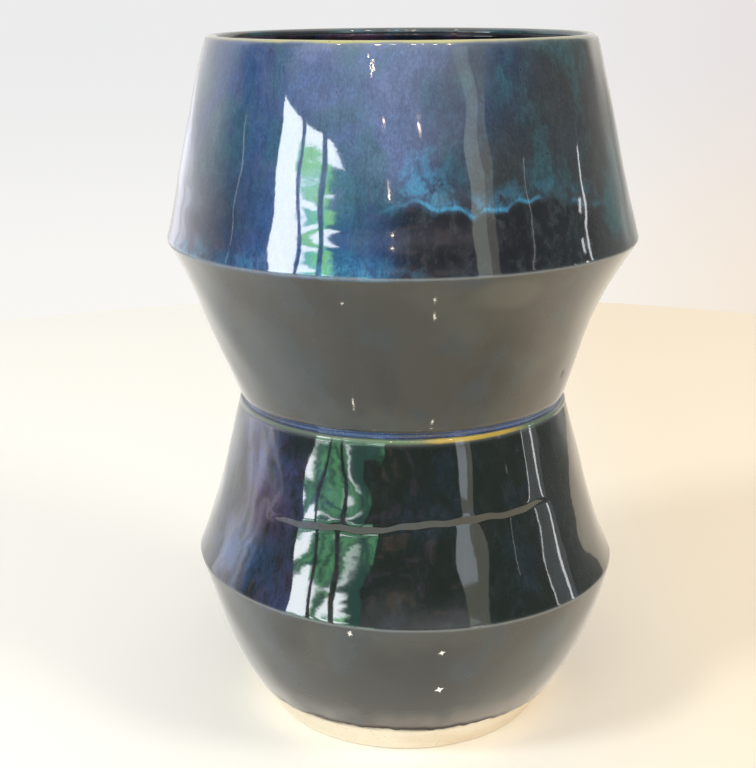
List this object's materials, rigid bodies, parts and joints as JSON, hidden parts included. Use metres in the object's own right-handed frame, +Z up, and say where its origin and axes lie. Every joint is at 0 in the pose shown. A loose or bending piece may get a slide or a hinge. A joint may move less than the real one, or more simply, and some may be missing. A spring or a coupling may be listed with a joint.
{
  "type": "stoneware vase",
  "caption": "Tall open vase of stacked angular sections with sharp shoulders and a narrow waist, glazed inside and out above a bare clay foot.",
  "frame": {"origin": "centre of the circle that the foot stands on, at the bottom of the bounding box", "axes": "+Z up along the axis that the vase was turned about, towards the lip; -Y is the front"},
  "size_m": [0.2, 0.2, 0.2975],
  "materials": {
    "bare_clay": "matte, unglazed buff stoneware",
    "slip": "matte fired slip",
    "dark_glaze": "high gloss, blue-black glaze that breaks to amber at edges",
    "blue_glaze": "high gloss, mottled cobalt and turquoise glaze that breaks to yellow-green at the lip",
    "pooled_glaze": "high gloss, thick deep blue glaze",
    "inner_glaze": "high gloss, near-black blue glaze"
  },
  "bodies": {
    "root": {"lower_section": "bare_clay", "upper_section": "bare_clay", "waist_slip_joint": "slip", "lower_outer_glaze": "dark_glaze", "upper_outer_glaze": "blue_glaze", "waist_glaze_pool": "pooled_glaze", "lower_inner_glaze": "inner_glaze", "upper_inner_glaze": "inner_glaze"}
  },
  "joints": []
}
